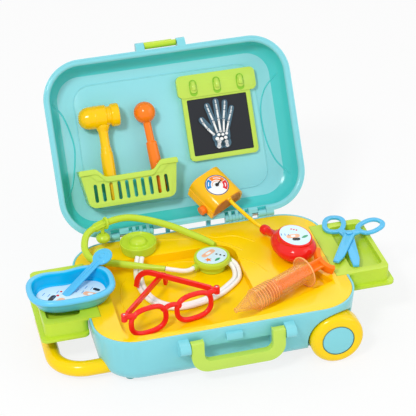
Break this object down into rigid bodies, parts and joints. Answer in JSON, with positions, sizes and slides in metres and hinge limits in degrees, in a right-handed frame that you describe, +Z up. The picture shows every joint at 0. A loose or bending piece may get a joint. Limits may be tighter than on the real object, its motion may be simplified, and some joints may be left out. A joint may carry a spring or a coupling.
{
  "type": "toy doctor case",
  "caption": "Wheeled toy doctor case standing open, with hinged lid, trolley and carry handles, side trays and toy instruments laid out in lid, well, trays and dish.",
  "frame": {"origin": "on the floor, below the middle of the open case with all its instruments", "axes": "+X along the case's length, from the trolley handle to the wheels; +Y from the carry handle to the lid's hinge; +Z up"},
  "size_m": [0.5209, 0.4407, 0.3177],
  "materials": {
    "aqua_plastic": "glossy moulded plastic",
    "teal_plastic": "glossy moulded plastic",
    "yellow_plastic": "glossy moulded plastic",
    "lime_plastic": "glossy moulded plastic",
    "blue_plastic": "glossy moulded plastic",
    "red_plastic": "glossy moulded plastic",
    "orange_plastic": "glossy moulded plastic",
    "clear_orange": "clear tinted plastic",
    "orange_rubber": "satin",
    "white_rubber": "satin soft vinyl",
    "steel": "plated",
    "label": "printed film",
    "dark_film": "printed dark film",
    "black_plastic": "satin"
  },
  "bodies": {
    "base": {"base_shell": "aqua_plastic", "deck": "yellow_plastic", "deck_screws": "steel", "handle_guides": "teal_plastic", "axle": "steel", "axle_nuts": "steel", "feet": "teal_plastic", "lid_pins": "steel", "bulb": "red_plastic", "bulb_label": "label", "air_tube": "yellow_plastic"},
    "lid": {"lid_shell": "aqua_plastic", "basket": "lime_plastic", "picture_frame": "lime_plastic", "picture_film": "dark_film", "latch_pin": "lime_plastic", "cuff": "yellow_plastic", "cuff_dial": "label", "cuff_knob": "orange_plastic"},
    "latch": {"latch_flap": "lime_plastic"},
    "carry": {"carry_handle": "lime_plastic"},
    "trolley": {"trolley_handle": "yellow_plastic", "leg_collars": "teal_plastic"},
    "wheel_front": {"wheel_front": "yellow_plastic", "hubcap_front": "aqua_plastic"},
    "wheel_back": {"wheel_back": "yellow_plastic", "hubcap_back": "aqua_plastic"},
    "tray_left": {"tray_left": "lime_plastic"},
    "tray_right": {"tray_right": "lime_plastic"},
    "dish": {"dish": "blue_plastic", "dish_label": "label"},
    "spoon": {"spoon": "blue_plastic"},
    "scissors": {"scissor_left": "blue_plastic", "scissor_rivet": "blue_plastic"},
    "scissor_half": {"scissor_right": "blue_plastic"},
    "stethoscope": {"headset": "lime_plastic", "ear_tips": "lime_plastic", "chest_cup": "lime_plastic", "chest_disc": "lime_plastic", "disc_label": "label", "hoses": "white_rubber", "short_hose": "white_rubber"},
    "glasses": {"glasses_front": "red_plastic", "temple_pins": "steel"},
    "temple_left": {"temple_left": "red_plastic"},
    "temple_right": {"temple_right": "red_plastic"},
    "syringe": {"syringe_barrel": "clear_orange"},
    "plunger": {"plunger": "orange_plastic", "plunger_seal": "orange_rubber"},
    "needle": {"dial_needle": "black_plastic"},
    "hammer": {"hammer_head": "yellow_plastic", "hammer_handle": "yellow_plastic"},
    "ball": {"ball_tool": "orange_plastic"}
  },
  "joints": [
    {"name": "lid_hinge", "type": "hinge", "parent": "base", "child": "lid", "pos_m": [-0.00677, 0.0527, 0.08627], "axis": [-0.9989, 0, -0.0464], "range_deg": [-56, 0], "deforming": ["air_tube"]},
    {"name": "latch_turn", "type": "hinge", "parent": "lid", "child": "latch", "pos_m": [-0.01717, 0.18883, 0.31008], "axis": [0.9989, 0, 0.0464], "range_deg": [0, 170]},
    {"name": "carry_swing", "type": "hinge", "parent": "base", "child": "carry", "pos_m": [-0.00376, -0.2123, 0.06439], "axis": [-0.9989, 0, -0.0464], "range_deg": [0, 95]},
    {"name": "trolley_slide", "type": "slide", "parent": "base", "child": "trolley", "axis": [-0.9989, 0, -0.0464], "range_m": [-0.016, 0.1]},
    {"name": "front_wheel_spin", "type": "hinge", "parent": "base", "child": "wheel_front", "pos_m": [0.13717, -0.1903, 0.0369], "axis": [0, 1, 0], "continuous": true},
    {"name": "back_wheel_spin", "type": "hinge", "parent": "base", "child": "wheel_back", "pos_m": [0.13717, 0.0377, 0.0369], "axis": [0, 1, 0], "continuous": true},
    {"name": "tray_left_lift", "type": "slide", "parent": "base", "child": "tray_left", "axis": [-0.0464, 0, 0.9989], "range_m": [0, 0.06]},
    {"name": "tray_right_lift", "type": "slide", "parent": "base", "child": "tray_right", "axis": [-0.0464, 0, 0.9989], "range_m": [0, 0.06]},
    {"name": "dish_lift", "type": "slide", "parent": "tray_left", "child": "dish", "axis": [-0.0464, 0, 0.9989], "range_m": [0, 0.06]},
    {"name": "spoon_lift", "type": "slide", "parent": "dish", "child": "spoon", "axis": [-0.0464, 0, 0.9989], "range_m": [0, 0.05]},
    {"name": "scissors_lift", "type": "slide", "parent": "tray_right", "child": "scissors", "axis": [-0.0464, 0, 0.9989], "range_m": [0, 0.06]},
    {"name": "scissors_turn", "type": "hinge", "parent": "scissors", "child": "scissor_half", "pos_m": [0.20305, -0.0403, 0.09502], "axis": [-0.0464, 0, 0.9989], "range_deg": [-24, 12]},
    {"name": "stethoscope_lift", "type": "slide", "parent": "base", "child": "stethoscope", "axis": [-0.0464, 0, 0.9989], "range_m": [0, 0.08]},
    {"name": "glasses_lift", "type": "slide", "parent": "stethoscope", "child": "glasses", "axis": [-0.0464, 0, 0.9989], "range_m": [0, 0.08]},
    {"name": "left_temple_fold", "type": "hinge", "parent": "glasses", "child": "temple_left", "pos_m": [-0.1476, -0.17523, 0.09795], "axis": [-0.0464, 0, 0.9989], "range_deg": [-4, 6]},
    {"name": "right_temple_fold", "type": "hinge", "parent": "glasses", "child": "temple_right", "pos_m": [-0.01667, -0.14737, 0.10403], "axis": [0.0464, 0, -0.9989], "range_deg": [-6, 12]},
    {"name": "syringe_lift", "type": "slide", "parent": "base", "child": "syringe", "axis": [-0.0464, 0, 0.9989], "range_m": [0, 0.08]},
    {"name": "plunger_slide", "type": "slide", "parent": "syringe", "child": "plunger", "axis": [0.9037, 0.4137, 0.1101], "range_m": [-0.025, 0.01]},
    {"name": "needle_turn", "type": "hinge", "parent": "lid", "child": "needle", "pos_m": [0.03714, 0.06607, 0.13896], "axis": [0.011, -0.4534, 0.8913], "range_deg": [-130, 130]},
    {"name": "hammer_lift", "type": "slide", "parent": "lid", "child": "hammer", "axis": [-0.0405, 0.4886, 0.8716], "range_m": [0, 0.045]},
    {"name": "ball_tool_lift", "type": "slide", "parent": "lid", "child": "ball", "axis": [0.0293, 0.4874, 0.8727], "range_m": [0, 0.045]}
  ]
}
